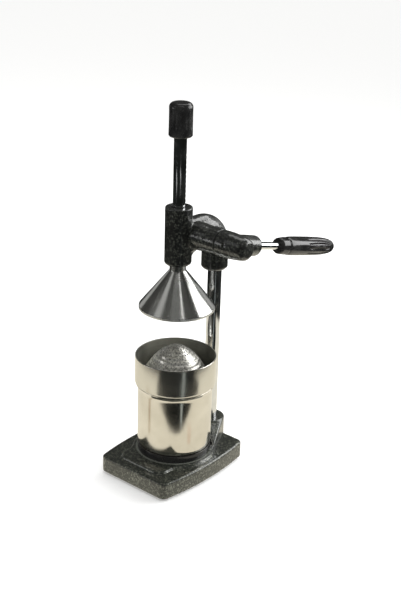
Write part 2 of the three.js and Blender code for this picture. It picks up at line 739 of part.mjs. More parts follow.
const lever = gathered(
  [LEVER.x, PINION.y, PINION.z],
  piece('lever_hub', leverHub(), PAINT),
  piece('hub_set_screw', hubSetScrew(), STEEL),
  piece('lever_rod', leverRod(), CHROME),
  piece('lever_grip', leverGrip(), BLACK),
);
lever.rotation.x = LEVER.angle;

const group = new THREE.Group();
group.add(frame, column, cup, ram, pinion, lever);
group.updateMatrixWorld(true);

// The origin is the middle of the whole press on the plane that its feet stand on.
const middle = new THREE.Box3().setFromObject(group, true).getCenter(new THREE.Vector3());
group.position.set(-middle.x, -middle.y, 0);

export default group;
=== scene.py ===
"""Hand lever citrus press: fine meshes, materials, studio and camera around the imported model.

Shapes are written in millimetres in the press frame: the press axis is the origin in plan, the feet
stand on height 0, X points to the lever's side and Y to the column. Objects are in metres.
"""

import json
import math

import bmesh
import bpy
from mathutils import Matrix, Vector


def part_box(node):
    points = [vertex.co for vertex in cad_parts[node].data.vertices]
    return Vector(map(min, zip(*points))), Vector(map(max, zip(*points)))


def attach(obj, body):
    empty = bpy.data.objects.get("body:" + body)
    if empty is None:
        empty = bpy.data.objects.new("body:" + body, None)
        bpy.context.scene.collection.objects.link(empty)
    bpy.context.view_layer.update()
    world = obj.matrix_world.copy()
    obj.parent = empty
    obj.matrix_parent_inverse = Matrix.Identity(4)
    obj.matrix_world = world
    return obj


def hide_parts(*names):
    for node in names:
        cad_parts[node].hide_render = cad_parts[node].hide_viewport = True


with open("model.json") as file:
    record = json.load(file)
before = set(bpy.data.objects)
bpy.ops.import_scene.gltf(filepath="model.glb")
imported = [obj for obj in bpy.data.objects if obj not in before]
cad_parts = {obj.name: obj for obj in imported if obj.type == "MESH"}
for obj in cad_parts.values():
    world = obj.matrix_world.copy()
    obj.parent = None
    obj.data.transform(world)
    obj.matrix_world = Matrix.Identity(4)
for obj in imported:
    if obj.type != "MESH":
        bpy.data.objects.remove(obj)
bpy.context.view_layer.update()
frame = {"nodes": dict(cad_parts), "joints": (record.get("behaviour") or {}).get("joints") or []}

MM = 0.001


# ------------------------------------------------------------------ places taken from the frame

def middle(node):
    low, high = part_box(node)
    return (low + high) / 2


PRESS_AXIS = Vector((middle("juice_cup").x, middle("juice_cup").y, 0))


def span(node, axis=2):
    """Lowest and highest coordinate of a CAD node in the press frame, in mm."""
    low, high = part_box(node)
    return (low[axis] - PRESS_AXIS[axis]) / MM, (high[axis] - PRESS_AXIS[axis]) / MM


def joint(name):
    return next(j for j in frame["joints"] if j["name"] == name)


COLUMN_Y = (middle("column_tube") - PRESS_AXIS).y / MM
PINION_Y = (joint("lever_turn")["pos_m"][1] - PRESS_AXIS.y) / MM
PINION_Z = joint("lever_turn")["pos_m"][2] / MM
LEVER_X = (middle("lever_rod") - PRESS_AXIS).x / MM
LEVER_ANGLE = math.radians(-14.4)
TRAVEL = joint("ram_slide")["range_m"][1] / MM


# ------------------------------------------------------------------ outlines

def rounded(points, closed=False, steps=5):
    """Points are (r, z) or (r, z, fillet). Each corner with a fillet becomes an arc of that radius."""
    count = len(points)
    line = []
    for i, point in enumerate(points):
        here = Vector(point[:2])
        inner = closed or 0 < i < count - 1
        if len(point) < 3 or point[2] == 0 or not inner:
            line.append(tuple(here))
            continue
        back = Vector(points[i - 1][:2]) - here
        ahead = Vector(points[(i + 1) % count][:2]) - here
        half = back.angle(ahead) / 2
        reach = min(point[2] / math.tan(half), back.length * 0.49, ahead.length * 0.49)
        radius = reach * math.tan(half)
        centre = here + (back.normalized() + ahead.normalized()).normalized() * radius / math.sin(half)
        start = here + back.normalized() * reach - centre
        end = here + ahead.normalized() * reach - centre
        turn = start.angle_signed(end)
        for step in range(steps + 1):
            arm = start.copy()
            arm.rotate(Matrix.Rotation(-turn * step / steps, 2))
            line.append(tuple(centre + arm))
    return line


def arc(x, y, radius, start, end, steps):
    angles = [start + (end - start) * i / steps for i in range(steps + 1)]
    return [(x + radius * math.cos(a), y + radius * math.sin(a)) for a in angles]


def smooth_curve(points, steps=8):
    """A Catmull-Rom line through given (r, z) points."""
    line = []
    for i in range(len(points) - 1):
        p0 = Vector(points[max(i - 1, 0)])
        p1, p2 = Vector(points[i]), Vector(points[i + 1])
        p3 = Vector(points[min(i + 2, len(points) - 1)])
        for step in range(steps):
            t = step / steps
            line.append(tuple(0.5 * (2 * p1 + (p2 - p0) * t + (2 * p0 - 5 * p1 + 4 * p2 - p3) * t * t
                                     + (3 * p1 - p0 - 3 * p2 + p3) * t ** 3)))
    return line + [tuple(points[-1])]


# ------------------------------------------------------------------ mesh builders, in mm

def turned(profile, facets=96, radius_at=None):
    """Turns (r, z) points about Z. radius_at(r, z, angle) may reshape the radius, as flutes do."""
    mesh = bmesh.new()
    rings = []
    for r, z in profile:
        if r < 1e-6:
            rings.append([mesh.verts.new((0, 0, z))])
            continue
        ring = []
        for i in range(facets):
            angle = 2 * math.pi * i / facets
            reach = radius_at(r, z, angle) if radius_at else r
            ring.append(mesh.verts.new((reach * math.cos(angle), reach * math.sin(angle), z)))
        rings.append(ring)
    pairs = list(zip(rings, rings[1:]))
    if len(rings[0]) > 1 and len(rings[-1]) > 1:
        pairs.append((rings[-1], rings[0]))
    for lower, upper in pairs:
        for i in range(facets):
            j = (i + 1) % facets
            if len(lower) == 1 and len(upper) == 1:
                break
            if len(lower) == 1:
                mesh.faces.new((lower[0], upper[i], upper[j]))
            elif len(upper) == 1:
                mesh.faces.new((lower[i], lower[j], upper[0]))
            else:
                mesh.faces.new((lower[i], lower[j], upper[j], upper[i]))
    bmesh.ops.recalc_face_normals(mesh, faces=mesh.faces)
    return mesh


def rod(radius, low, high, edge=0.0, facets=48):
    return turned(rounded([(0, low), (radius, low, edge), (radius, high, edge), (0, high)]), facets)


def prism(outline, low, high):
    mesh = bmesh.new()
    lower = [mesh.verts.new((x, y, low)) for x, y in outline]
    upper = [mesh.verts.new((x, y, high)) for x, y in outline]
    mesh.faces.new(lower[::-1])
    mesh.faces.new(upper)
    for i in range(len(outline)):
        j = (i + 1) % len(outline)
        mesh.faces.new((lower[i], lower[j], upper[j], upper[i]))
    bmesh.ops.recalc_face_normals(mesh, faces=mesh.faces)
    return mesh


def inset(outline, distance):
    """Moves each point of a counter-clockwise outline inwards by about that distance."""
    moved = []
    for i, (x, y) in enumerate(outline):
        x0, y0 = outline[i - 1]
        x1, y1 = outline[(i + 1) % len(outline)]
        along = Vector((x1 - x0, y1 - y0)).normalized()
        moved.append((x - along.y * distance, y + along.x * distance))
    return moved


def slab(outline, low, high, edge, steps=6):
    """A prism whose top edge is rounded."""
    levels = [(low, 0.0), (high - edge, 0.0)]
    for step in range(1, steps + 1):
        angle = math.pi / 2 * step / steps
        levels.append((high - edge + edge * math.sin(angle), edge * (1 - math.cos(angle))))
    mesh = bmesh.new()
    rings = [[mesh.verts.new((x, y, z)) for x, y in inset(outline, depth)] for z, depth in levels]
    mesh.faces.new(rings[0][::-1])
    mesh.faces.new(rings[-1])
    for lower, upper in zip(rings, rings[1:]):
        for i in range(len(outline)):
            j = (i + 1) % len(outline)
            mesh.faces.new((lower[i], lower[j], upper[j], upper[i]))
    bmesh.ops.recalc_face_normals(mesh, faces=mesh.faces)
    return mesh


def hull(points):
    mesh = bmesh.new()
    for point in points:
        mesh.verts.new(point)
    result = bmesh.ops.convex_hull(mesh, input=mesh.verts)
    unused = [v for v in result["geom_interior"] if isinstance(v, bmesh.types.BMVert)]
    bmesh.ops.delete(mesh, geom=unused, context="VERTS")
    bmesh.ops.recalc_face_normals(mesh, faces=mesh.faces)
    return mesh


def swept(path, radius, facets=40):
    """A round bar along (position, direction, side) stations, closed at both ends."""
    mesh = bmesh.new()
    rings = []
    for centre, direction, side in path:
        up = direction.cross(side)
        ring = []
        for i in range(facets):
            angle = 2 * math.pi * i / facets
            ring.append(mesh.verts.new(centre + (side * math.cos(angle) + up * math.sin(angle)) * radius))
        rings.append(ring)
    for lower, upper in zip(rings, rings[1:]):
        for i in range(facets):
            j = (i + 1) % facets
            mesh.faces.new((lower[i], lower[j], upper[j], upper[i]))
    mesh.faces.new(rings[0][::-1])
    mesh.faces.new(rings[-1])
    bmesh.ops.recalc_face_normals(mesh, faces=mesh.faces)
    return mesh


def moved(mesh, matrix):
    mesh.transform(matrix)
    return mesh


def shift(x, y, z):
    return Matrix.Translation((x, y, z))


ALONG_X = Matrix.Rotation(math.pi / 2, 4, "Y")
ALONG_Y = Matrix.Rotation(-math.pi / 2, 4, "X")
ON_PINION = shift(0, PINION_Y, PINION_Z) @ ALONG_X
ON_LEVER = shift(LEVER_X, PINION_Y, PINION_Z) @ Matrix.Rotation(LEVER_ANGLE, 4, "X")


# ------------------------------------------------------------------ objects

def as_object(name, mesh):
    """Makes the object with its origin on the press axis, in metres."""
    mesh.transform(Matrix.Scale(MM, 4))
    data = bpy.data.meshes.new(name)
    mesh.to_mesh(data)
    mesh.free()
    piece = bpy.data.objects.new(name, data)
    piece.location = PRESS_AXIS
    bpy.context.scene.collection.objects.link(piece)
    bpy.context.view_layer.update()
    return piece


def applied(piece):
    """Bakes an object's modifiers into its mesh."""
    bpy.context.view_layer.update()
    shown = piece.evaluated_get(bpy.context.evaluated_depsgraph_get())
    baked = bpy.data.meshes.new_from_object(shown)
    piece.modifiers.clear()
    old = piece.data
    piece.data = baked
    bpy.data.meshes.remove(old)
    return piece


def discard(piece):
    data = piece.data
    bpy.data.objects.remove(piece)
    bpy.data.meshes.remove(data)


def merged(name, meshes):
    whole = bmesh.new()
    for mesh in meshes:
        part = bpy.data.meshes.new("part")
        mesh.to_mesh(part)
        mesh.free()
        whole.from_mesh(part)
        bpy.data.meshes.remove(part)
    return as_object(name, whole)


def casting(name, meshes, voxel, softness):
    """Fuses overlapping solids and softens their edges and inner corners, as a sand casting has."""
    piece = merged(name, meshes)
    remesh = piece.modifiers.new("fuse", "REMESH")
    remesh.mode = "VOXEL"
    remesh.voxel_size = voxel * MM
    soften = piece.modifiers.new("soften", "SMOOTH")
    soften.factor = 0.5
    soften.iterations = softness
    return applied(piece)


def machined(piece, tools):
    """Cuts closed solids out of a piece, one after the other."""
    cutters = [as_object("cutter", tool) for tool in tools]
    for cutter in cutters:
        boolean = piece.modifiers.new("machine", "BOOLEAN")
        boolean.operation = "DIFFERENCE"
        boolean.solver = "MANIFOLD"
        boolean.object = cutter
    applied(piece)
    for cutter in cutters:
        discard(cutter)
    return piece


def shade(piece, crease=32):
    """Smooth shading that stays sharp where two faces meet at more than crease degrees."""
    mesh = bmesh.new()
    mesh.from_mesh(piece.data)
    limit = math.radians(crease)
    for face in mesh.faces:
        face.smooth = True
    for edge in mesh.edges:
        edge.smooth = len(edge.link_faces) == 2 and edge.calc_face_angle(0) < limit
    mesh.to_mesh(piece.data)
    mesh.free()


def finish_piece(piece, body, material, slot, *nodes):
    """Shades a piece, gives it its material, fixes it to its body and hides the CAD nodes it stands for."""
    shade(piece)
    piece.data.materials.clear()
    piece.data.materials.append(material)
    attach(piece, body)
    if nodes:
        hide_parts(*nodes)
    return piece


# ------------------------------------------------------------------ materials

class Shader:
    """A Principled material and short calls for the nodes that feed it."""

    def __init__(self, name, metallic, roughness, colour, **constants):
        self.material = bpy.data.materials.new(name)
        self.material.use_nodes = True
        self.tree = self.material.node_tree
        self.surface = self.tree.nodes["Principled BSDF"]
        self.set("Base Color", (*colour, 1))
        self.set("Metallic", metallic)
        self.set("Roughness", roughness)
        for socket, value in constants.items():
            self.set(socket.replace("_", " "), value)
        self.place = self.node("ShaderNodeTexCoord").outputs["Object"]

    def set(self, socket, value):
        target = self.surface.inputs[socket]
        if isinstance(value, bpy.types.NodeSocket):
            self.tree.links.new(value, target)
        else:
            target.default_value = value

    def node(self, kind, inputs=(), **settings):
        made = self.tree.nodes.new(kind)
        for key, value in settings.items():
            setattr(made, key, value)
        for socket, value in dict(inputs).items():
            target = made.inputs[socket]
            if isinstance(value, bpy.types.NodeSocket):
                self.tree.links.new(value, target)
            else:
                target.default_value = value
        return made

    def stretched(self, x, y, z):
        """Object coordinates scaled along each axis."""
        scale = self.node("ShaderNodeMapping", {"Vector": self.place, "Scale": (x, y, z)})
        return scale.outputs["Vector"]

    def noise(self, scale, detail=3.0, vector=None, rough=0.5):
        inputs = {"Vector": vector or self.place, "Scale": scale, "Detail": detail, "Roughness": rough}
        return self.node("ShaderNodeTexNoise", inputs).outputs["Fac"]

    def cells(self, scale, feature="SMOOTH_F1", smoothness=0.6):
        made = self.node("ShaderNodeTexVoronoi", {"Vector": self.place, "Scale": scale}, feature=feature)
        if feature == "SMOOTH_F1":
            made.inputs["Smoothness"].default_value = smoothness
        return made.outputs["Distance"]

    def ramp(self, value, *stops):
        """stops are (position, grey or colour)."""
        made = self.node("ShaderNodeValToRGB", {"Fac": value})
        ramp = made.color_ramp
        for i, (position, colour) in enumerate(stops):
            stop = ramp.elements[i] if i < 2 else ramp.elements.new(position)
            stop.position = position
            stop.color = (*colour, 1) if isinstance(colour, tuple) else (colour, colour, colour, 1)
        return made.outputs["Color"]

    def between(self, value, low, high, new_low, new_high):
        inputs = {"Value": value, "From Min": low, "From Max": high, "To Min": new_low, "To Max": new_high}
        return self.node("ShaderNodeMapRange", inputs).outputs["Result"]

    def math(self, operation, first, second):
        made = self.node("ShaderNodeMath", operation=operation)
        for socket, value in zip(made.inputs, (first, second)):
            if isinstance(value, bpy.types.NodeSocket):
                self.tree.links.new(value, socket)
            else:
                socket.default_value = value
        return made.outputs["Value"]

    def mix(self, factor, first, second, blend="MIX"):
        made = self.node("ShaderNodeMix", data_type="RGBA", blend_type=blend)
        for socket, value in ((made.inputs[0], factor), (made.inputs[6], first), (made.inputs[7], second)):
            if isinstance(value, bpy.types.NodeSocket):
                self.tree.links.new(value, socket)
            else:
                socket.default_value = (*value, 1) if isinstance(value, tuple) else value
        return made.outputs[2]

    def edges(self, low, high):
        """0 on flat ground, 1 on sharp outer edges."""
        point = self.node("ShaderNodeNewGeometry").outputs["Pointiness"]
        return self.between(point, low, high, 0, 1)

    def bump(self, height, depth, strength=1.0):
        made = self.node("ShaderNodeBump", {"Height": height, "Distance": depth, "Strength": strength})
        self.set("Normal", made.outputs["Normal"])


def hammertone(name, light, dark):
    """Hammered enamel: pebbled cells of thin metallic paint with darker paint pooled between them; outer
    edges are painted lighter, as highlight and worn paint.
    """
    paint = Shader(name, 0.3, 0.3, dark, Coat_Weight=0.8, Coat_Roughness=0.07)
    cell = paint.cells(330)
    fleck = paint.noise(620, 4)
    cloud = paint.noise(38, 4)
    pebble = paint.ramp(cell, (0.14, light), (0.5, dark))
    speckle = paint.ramp(fleck, (0.4, 0.4), (0.64, 1.6))
    colour = paint.mix(1.0, pebble, speckle, "MULTIPLY")
    tone = paint.ramp(cloud, (0.3, 0.6), (0.7, 1.25))
    colour = paint.mix(1.0, colour, tone, "MULTIPLY")
    # Outer edges mixed towards a lighter grey: a painted highlight on the rounded edges, with paint worn thin
    # there.
    colour = paint.mix(paint.edges(0.53, 0.62), colour, (0.17, 0.18, 0.155))
    paint.set("Base Color", colour)
    paint.set("Roughness", paint.between(cell, 0.1, 0.7, 0.22, 0.42))
    height = paint.math("ADD", paint.math("MULTIPLY", cell, -1.0), paint.math("MULTIPLY", fleck, 0.3))
    paint.bump(height, 0.0002, 0.8)
    paint.set("Coat Normal", paint.surface.inputs["Normal"].links[0].from_socket)
    return paint.material


def chrome():
    plate = Shader("chrome_plate", 1.0, 0.07, (0.80, 0.81, 0.82))
    smear = plate.noise(60, 4)
    hairline = plate.noise(900, 2, plate.stretched(1, 1, 0.03))
    plate.set("Roughness", plate.between(smear, 0.35, 0.7, 0.05, 0.16))
    plate.set("Base Color", plate.ramp(smear, (0.3, (0.74, 0.75, 0.75)), (0.7, (0.84, 0.85, 0.86))))
    plate.bump(hairline, 0.00001, 0.5)
    return plate.material


def stainless():
    """Deep-drawn sheet, polished round and round: fine lines, faint wipes and water marks."""
    # The base colour is warmer than steel's own: the warmth is a painted reflection of warm surroundings.
    sheet = Shader("polished_stainless", 1.0, 0.14, (0.80, 0.77, 0.70), Anisotropic=0.25)
    lines = sheet.noise(2.2, 4, sheet.stretched(6, 6, 900))
    wipes = sheet.noise(26, 5)
    spots = sheet.cells(180, "F1")
    sheet.set("Base Color", sheet.ramp(wipes, (0.28, (0.70, 0.67, 0.60)), (0.72, (0.83, 0.80, 0.73))))
    rough = sheet.between(wipes, 0.3, 0.72, 0.09, 0.2)
    marks = sheet.ramp(spots, (0.05, 0.06), (0.12, 0.0))
    sheet.set("Roughness", sheet.math("ADD", rough, marks))
    sheet.bump(lines, 0.00002, 0.55)
    return sheet.material


def satin_stainless():
    """The strainer's ring: wiped to a softer gloss than the cup; its inner wall takes a dull material painted
    dark as shade.
    """
    sheet = Shader("satin_stainless", 1.0, 0.2, (0.76, 0.75, 0.70))
    lines = sheet.noise(2.2, 4, sheet.stretched(6, 6, 900))
    wipes = sheet.noise(22, 5)
    sheet.set("Base Color", sheet.ramp(wipes, (0.28, (0.68, 0.66, 0.60)), (0.72, (0.80, 0.78, 0.72))))
    sheet.set("Roughness", sheet.between(wipes, 0.3, 0.72, 0.16, 0.26))
    sheet.bump(lines, 0.00002, 0.5)
    return sheet.material


def dull_shaded_inside():
    """The unpolished inner wall of the strainer's ring, its colour painted dark as shade inside the ring,
    mottled at random.
    """
    wall = Shader("dull_stainless_shaded_inside", 1.0, 0.5, (0.20, 0.20, 0.18))
    mottle = wall.noise(38, 5)
    drag = wall.noise(3, 4, wall.stretched(5, 5, 500))
    # These dark greys are painted shade on the inner wall.
    tone = wall.mix(0.4, wall.ramp(mottle, (0.3, (0.24, 0.24, 0.21)), (0.72, (0.48, 0.48, 0.43))),
                    wall.ramp(drag, (0.3, (0.26, 0.26, 0.23)), (0.7, (0.44, 0.44, 0.40))))
    wall.set("Base Color", tone)
    wall.set("Roughness", wall.between(mottle, 0.3, 0.72, 0.36, 0.56))
    wall.bump(drag, 0.00002, 0.5)
    return wall.material


def spun_metal():
    """Turned aluminium: concentric tool lines that draw the light out into radial streaks."""
    spun = Shader("spun_aluminium", 1.0, 0.26, (0.62, 0.62, 0.60), Anisotropic=0.85,
                  Anisotropic_Rotation=0.25)
    tangent = spun.node("ShaderNodeTangent", direction_type="RADIAL", axis="Z").outputs["Tangent"]
    spun.set("Tangent", tangent)
    lines = spun.noise(3, 3, spun.stretched(4, 4, 1500))
    cloud = spun.noise(30, 4)
    tone = spun.mix(0.3, spun.ramp(cloud, (0.3, (0.54, 0.55, 0.52)), (0.7, (0.66, 0.66, 0.63))),
                    spun.ramp(lines, (0.3, (0.52, 0.53, 0.50)), (0.7, (0.68, 0.68, 0.66))))
    spun.set("Base Color", tone)
    spun.set("Roughness", spun.between(cloud, 0.3, 0.7, 0.2, 0.28))
    spun.bump(lines, 0.000003, 0.3)
    return spun.material


def lip_highlight():
    """The bell's rolled lip, coloured brighter than the cone above it: a painted highlight along the rim."""
    lip = Shader("aluminium_lip_painted_highlight", 0.9, 0.3, (0.85, 0.85, 0.82))
    wipes = lip.noise(60, 4)
    nicks = lip.noise(260, 3)
    lip.set("Base Color", lip.ramp(wipes, (0.3, (0.74, 0.74, 0.70)), (0.7, (0.92, 0.92, 0.89))))
    lip.set("Roughness", lip.between(nicks, 0.35, 0.65, 0.22, 0.4))
    lip.bump(nicks, 0.00002, 0.5)
    return lip.material


def satin_metal():
    """The reamer: pressed metal, tumbled satin, painted darker in the low places as shade."""
    satin = Shader("satin_metal", 0.85, 0.42, (0.78, 0.77, 0.72))
    grain = satin.noise(420, 4)
    cloud = satin.noise(70, 4)
    hollow = satin.edges(0.48, 0.42)
    tone = satin.ramp(cloud, (0.3, (0.66, 0.65, 0.59)), (0.7, (0.86, 0.85, 0.80)))
    spots = satin.ramp(grain, (0.36, 0.55), (0.6, 1.2))
    tone = satin.mix(1.0, tone, spots, "MULTIPLY")
    # Concave places are mixed towards a dark colour: painted shade in the hollows between the ribs.
    satin.set("Base Color", satin.mix(satin.math("MULTIPLY", hollow, 0.8), tone, (0.12, 0.115, 0.10)))
    satin.set("Roughness", satin.between(grain, 0.3, 0.7, 0.26, 0.42))
    satin.bump(grain, 0.0002, 0.7)
    return satin.material


def machined_steel():
    steel = Shader("machined_steel", 1.0, 0.35, (0.48, 0.48, 0.48))
    grain = steel.noise(900, 3)
    stain = steel.noise(80, 4)
    steel.set("Base Color", steel.ramp(stain, (0.3, (0.34, 0.34, 0.34)), (0.7, (0.56, 0.56, 0.57))))
    steel.set("Roughness", steel.between(stain, 0.3, 0.7, 0.28, 0.46))
    steel.bump(grain, 0.00003, 0.6)
    return steel.material


def bronze():
    metal = Shader("bearing_bronze", 1.0, 0.35, (0.55, 0.38, 0.19))
    stain = metal.noise(120, 4)
    metal.set("Base Color", metal.ramp(stain, (0.3, (0.30, 0.19, 0.09)), (0.7, (0.62, 0.44, 0.23))))
    metal.set("Roughness", metal.between(stain, 0.3, 0.7, 0.25, 0.5))
    metal.bump(metal.noise(800, 3), 0.00003, 0.6)
    return metal.material


def moulded_black(name, roughness, texture):
    plastic = Shader(name, 0.0, roughness, (0.012, 0.012, 0.012))
    grain = plastic.noise(1400, 3)
    dust = plastic.noise(55, 5)
    tone = plastic.ramp(dust, (0.35, (0.008, 0.008, 0.008)), (0.75, (0.022, 0.022, 0.021)))
    plastic.set("Base Color", plastic.mix(plastic.edges(0.54, 0.64), tone, (0.05, 0.05, 0.05)))
    plastic.set("Roughness", plastic.between(dust, 0.3, 0.75, roughness - 0.06, roughness + 0.12))
    plastic.bump(grain, texture, 0.5)
    return plastic.material


BASE_ENAMEL = hammertone("hammertone_enamel_base", (0.15, 0.155, 0.125), (0.026, 0.03, 0.023))
HEAD_ENAMEL = hammertone("hammertone_enamel_head", (0.075, 0.08, 0.066), (0.008, 0.009, 0.008))
CHROME = chrome()
STAINLESS = stainless()
COLLAR_STEEL = satin_stainless()
COLLAR_INSIDE = dull_shaded_inside()
SPUN = spun_metal()
LIP_HIGHLIGHT = lip_highlight()
SATIN = satin_metal()
STEEL = machined_steel()
BRONZE = bronze()
PLASTIC = moulded_black("moulded_black_plastic", 0.24, 0.00002)
GRIP_PLASTIC = moulded_black("glossy_black_grip", 0.14, 0.00001)
RING_PLASTIC = moulded_black("glossy_black_ring", 0.16, 0.00002)
RUBBER = moulded_black("black_rubber", 0.62, 0.00008)


def middle_radius(node):
    low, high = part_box(node)
    return (high.x - low.x) / 2 / MM


# ------------------------------------------------------------------ base

BASE_BOTTOM, BASE_CROWN = span("base_casting")
PLATE_TOP = 26.9
SEAT_TOP = 30.0
PLATE_HALF, PLATE_BOW, PLATE_CORNER = 59.3, 6.5, 9.0
PLATE_FRONT = span("base_casting", 1)[0]
PLATE_REAR = 81.3
BOSS_RADIUS = span("base_casting", 1)[1] - COLUMN_Y
SEAT_RADIUS = 57.0
SEAT_CLEARANCE_RADIUS = 53
FOOT_HOLE, FOOT_RECESS = 2.2, 4.6
BOLT_SPACE_RADIUS, BOLT_SPACE_TOP = 9.5, 13
COLUMN_PLAY = 0.15
TONGUE_HALF, TONGUE_FRONT, TONGUE_CORNER, TONGUE_BLEND = 39.0, -72.0, 14.0, 36.0
FEET = {name: (x, y) for name, x, y in (
    ("front_left", -47, -70), ("front_right", 47, -70), ("rear_left", -47, 64), ("rear_right", 47, 64))}


def both_sides(right):
    return right + [(-x, y) for x, y in reversed(right)]


def plate_outline():
    centre = (PLATE_FRONT + PLATE_REAR) / 2
    half = (PLATE_REAR - PLATE_FRONT) / 2 - PLATE_CORNER
    side = []
    for i in range(1, 24):
        along = -1 + i / 12
        side.append((PLATE_HALF + PLATE_BOW * (1 - along * along), centre + half * along))
    x = PLATE_HALF - PLATE_CORNER
    return both_sides(
        arc(x, PLATE_FRONT + PLATE_CORNER, PLATE_CORNER, -math.pi / 2, 0, 12)
        + side
        + arc(x, PLATE_REAR - PLATE_CORNER, PLATE_CORNER, 0, math.pi / 2, 12)
    )


def seat_outline():
    blend_x = TONGUE_HALF + TONGUE_BLEND
    blend_y = -math.sqrt((SEAT_RADIUS + TONGUE_BLEND) ** 2 - blend_x ** 2)
    meeting = math.atan2(blend_y, blend_x)
    corner_x, corner_y = TONGUE_HALF - TONGUE_CORNER, TONGUE_FRONT + TONGUE_CORNER
    corner = arc(corner_x, corner_y, TONGUE_CORNER, -math.pi / 2, 0, 12)
    blend = arc(blend_x, blend_y, TONGUE_BLEND, math.pi, math.pi + meeting, 10)
    rim = arc(0, 0, SEAT_RADIUS, meeting, math.pi / 2, 48)
    return both_sides(corner + blend + rim[1:-1])


def column_ramp():
    foot = arc(0, 0, SEAT_RADIUS - 1.2, 0.7, math.pi - 0.7, 24)
    crown = arc(0, COLUMN_Y, BOSS_RADIUS, 0, 2 * math.pi, 40)
    points = [(x, y, z) for x, y in foot for z in (PLATE_TOP - 1, SEAT_TOP)]
    points += [(x, y, z) for x, y in crown for z in (PLATE_TOP - 1, BASE_CROWN - 1.6)]
    return hull(points)


def pocket(left, right, front, rear):
    corner = 5
    outline = (arc(right - corner, front + corner, corner, -math.pi / 2, 0, 5)
               + arc(right - corner, rear - corner, corner, 0, math.pi / 2, 5)
               + arc(left + corner, rear - corner, corner, math.pi / 2, math.pi, 5)
               + arc(left + corner, front + corner, corner, math.pi, 1.5 * math.pi, 5))
    return prism(outline, 0, PLATE_TOP - 7)


def build_base():
    boss = turned(rounded([(0, BASE_BOTTOM), (BOSS_RADIUS, BASE_BOTTOM, 0.6),
                           (BOSS_RADIUS, BASE_CROWN, 1.8), (0, BASE_CROWN)]), 64)
    base = casting("cast_base", [
        slab(plate_outline(), BASE_BOTTOM, PLATE_TOP, 2.4),
        slab(seat_outline(), PLATE_TOP - 2, SEAT_TOP, 1.4),
        column_ramp(),
        moved(boss, shift(0, COLUMN_Y, 0)),
    ], 1.0, 5)
    rows = ((PLATE_FRONT + 6.5, -31), (-25, 16), (22, 56))
    cells = [pocket(*sides, *row) for row in rows for sides in ((-54, -3), (3, 54))]
    holes = [moved(rod(FOOT_HOLE, 0, 16, 0, 24), shift(x, y, 0)) for x, y in FEET.values()]
    column_hole = moved(rod(middle_radius("column_tube") + COLUMN_PLAY, 16, 60), shift(0, COLUMN_Y, 0))
    bolt_space = moved(rod(BOLT_SPACE_RADIUS, 0, BOLT_SPACE_TOP), shift(0, COLUMN_Y, 0))
    seat_space = rod(SEAT_CLEARANCE_RADIUS, SEAT_TOP, 60, 0, 128)
    machined(base, cells + holes + [column_hole, bolt_space, seat_space])
    finish_piece(base, "frame", BASE_ENAMEL, "hammertone", "base_casting")


def build_feet():
    top = span("rubber_foot_front_left")[1]
    radius = middle_radius("rubber_foot_front_left")
    profile = rounded([
        (FOOT_RECESS, 0, 0.3), (radius - 1, 0, 0.5), (radius, top, 0.3),
        (FOOT_HOLE, top), (FOOT_HOLE, 2.2), (FOOT_RECESS, 2.2),
    ], closed=True, steps=3)
    for name, (x, y) in FEET.items():
        foot = as_object("foot_" + name, moved(turned(profile, 48), shift(x, y, 0)))
        finish_piece(foot, "frame", RUBBER, "foot_rubber", "rubber_foot_" + name)


# ------------------------------------------------------------------ cup, strainer, reamer and seat

CUP_BOTTOM, CUP_RIM = span("juice_cup")
CUP_RADIUS, CUP_CORNER, CUP_SHEET = 50.8, 14.0, 1.2
CUP_LIP_RADIUS = 54.1
COLLAR_RADIUS = middle_radius("strainer_collar")


def offset_line(line, distance):
    """The inner side of a sheet whose outer side is the line, which runs upwards."""
    inner = []
    for i, (r, z) in enumerate(line):
        r0, z0 = line[max(i - 1, 0)]
        r1, z1 = line[min(i + 1, len(line) - 1)]
        run = math.hypot(r1 - r0, z1 - z0)
        radius = 0 if r < 1e-6 else max(r - distance * (z1 - z0) / run, 0)
        inner.append((radius, z + distance * (r1 - r0) / run))
    return inner


def cup_corner(growth, steps=12):
    centre = CUP_RADIUS - CUP_CORNER
    return arc(centre, CUP_BOTTOM + CUP_CORNER, CUP_CORNER + growth, -math.pi / 2, 0, steps)


def build_seat_ring():
    low, high = span("cup_seat_ring")
    radius = middle_radius("cup_seat_ring")
    cradle = [(r, z) for r, z in cup_corner(0.3) if z < high - 0.4][::-1]
    profile = rounded([(30, low, 0.4), (radius, low, 0.5), (radius, high, 0.9), (radius - 1.5, high, 0.4)]
                      + cradle + [(30, CUP_BOTTOM - 0.3, 0.4)], closed=True)
    ring = as_object("seat_ring", turned(profile, 160))
    finish_piece(ring, "frame", RING_PLASTIC, "black_plastic", "cup_seat_ring")


def build_cup():
    flare = smooth_curve([
        (CUP_RADIUS, 119), (CUP_RADIUS + 0.1, 122), (51.4, 124.5), (52.8, 127), (CUP_LIP_RADIUS, 129),
    ], 5)
    line = [(0, CUP_BOTTOM), (30, CUP_BOTTOM)] + cup_corner(0)
    line += [(CUP_RADIUS, 80)] + flare + [(CUP_LIP_RADIUS, CUP_RIM)]
    inner = offset_line(line, CUP_SHEET)[::-1]
    lip = arc(CUP_LIP_RADIUS - CUP_SHEET / 2, CUP_RIM - 0.6, CUP_SHEET / 2, 0, math.pi, 6)
    profile = line[:-1] + lip + inner[1:]
    finish_piece(as_object("cup", turned(profile, 160)), "cup", STAINLESS, "stainless", "juice_cup")


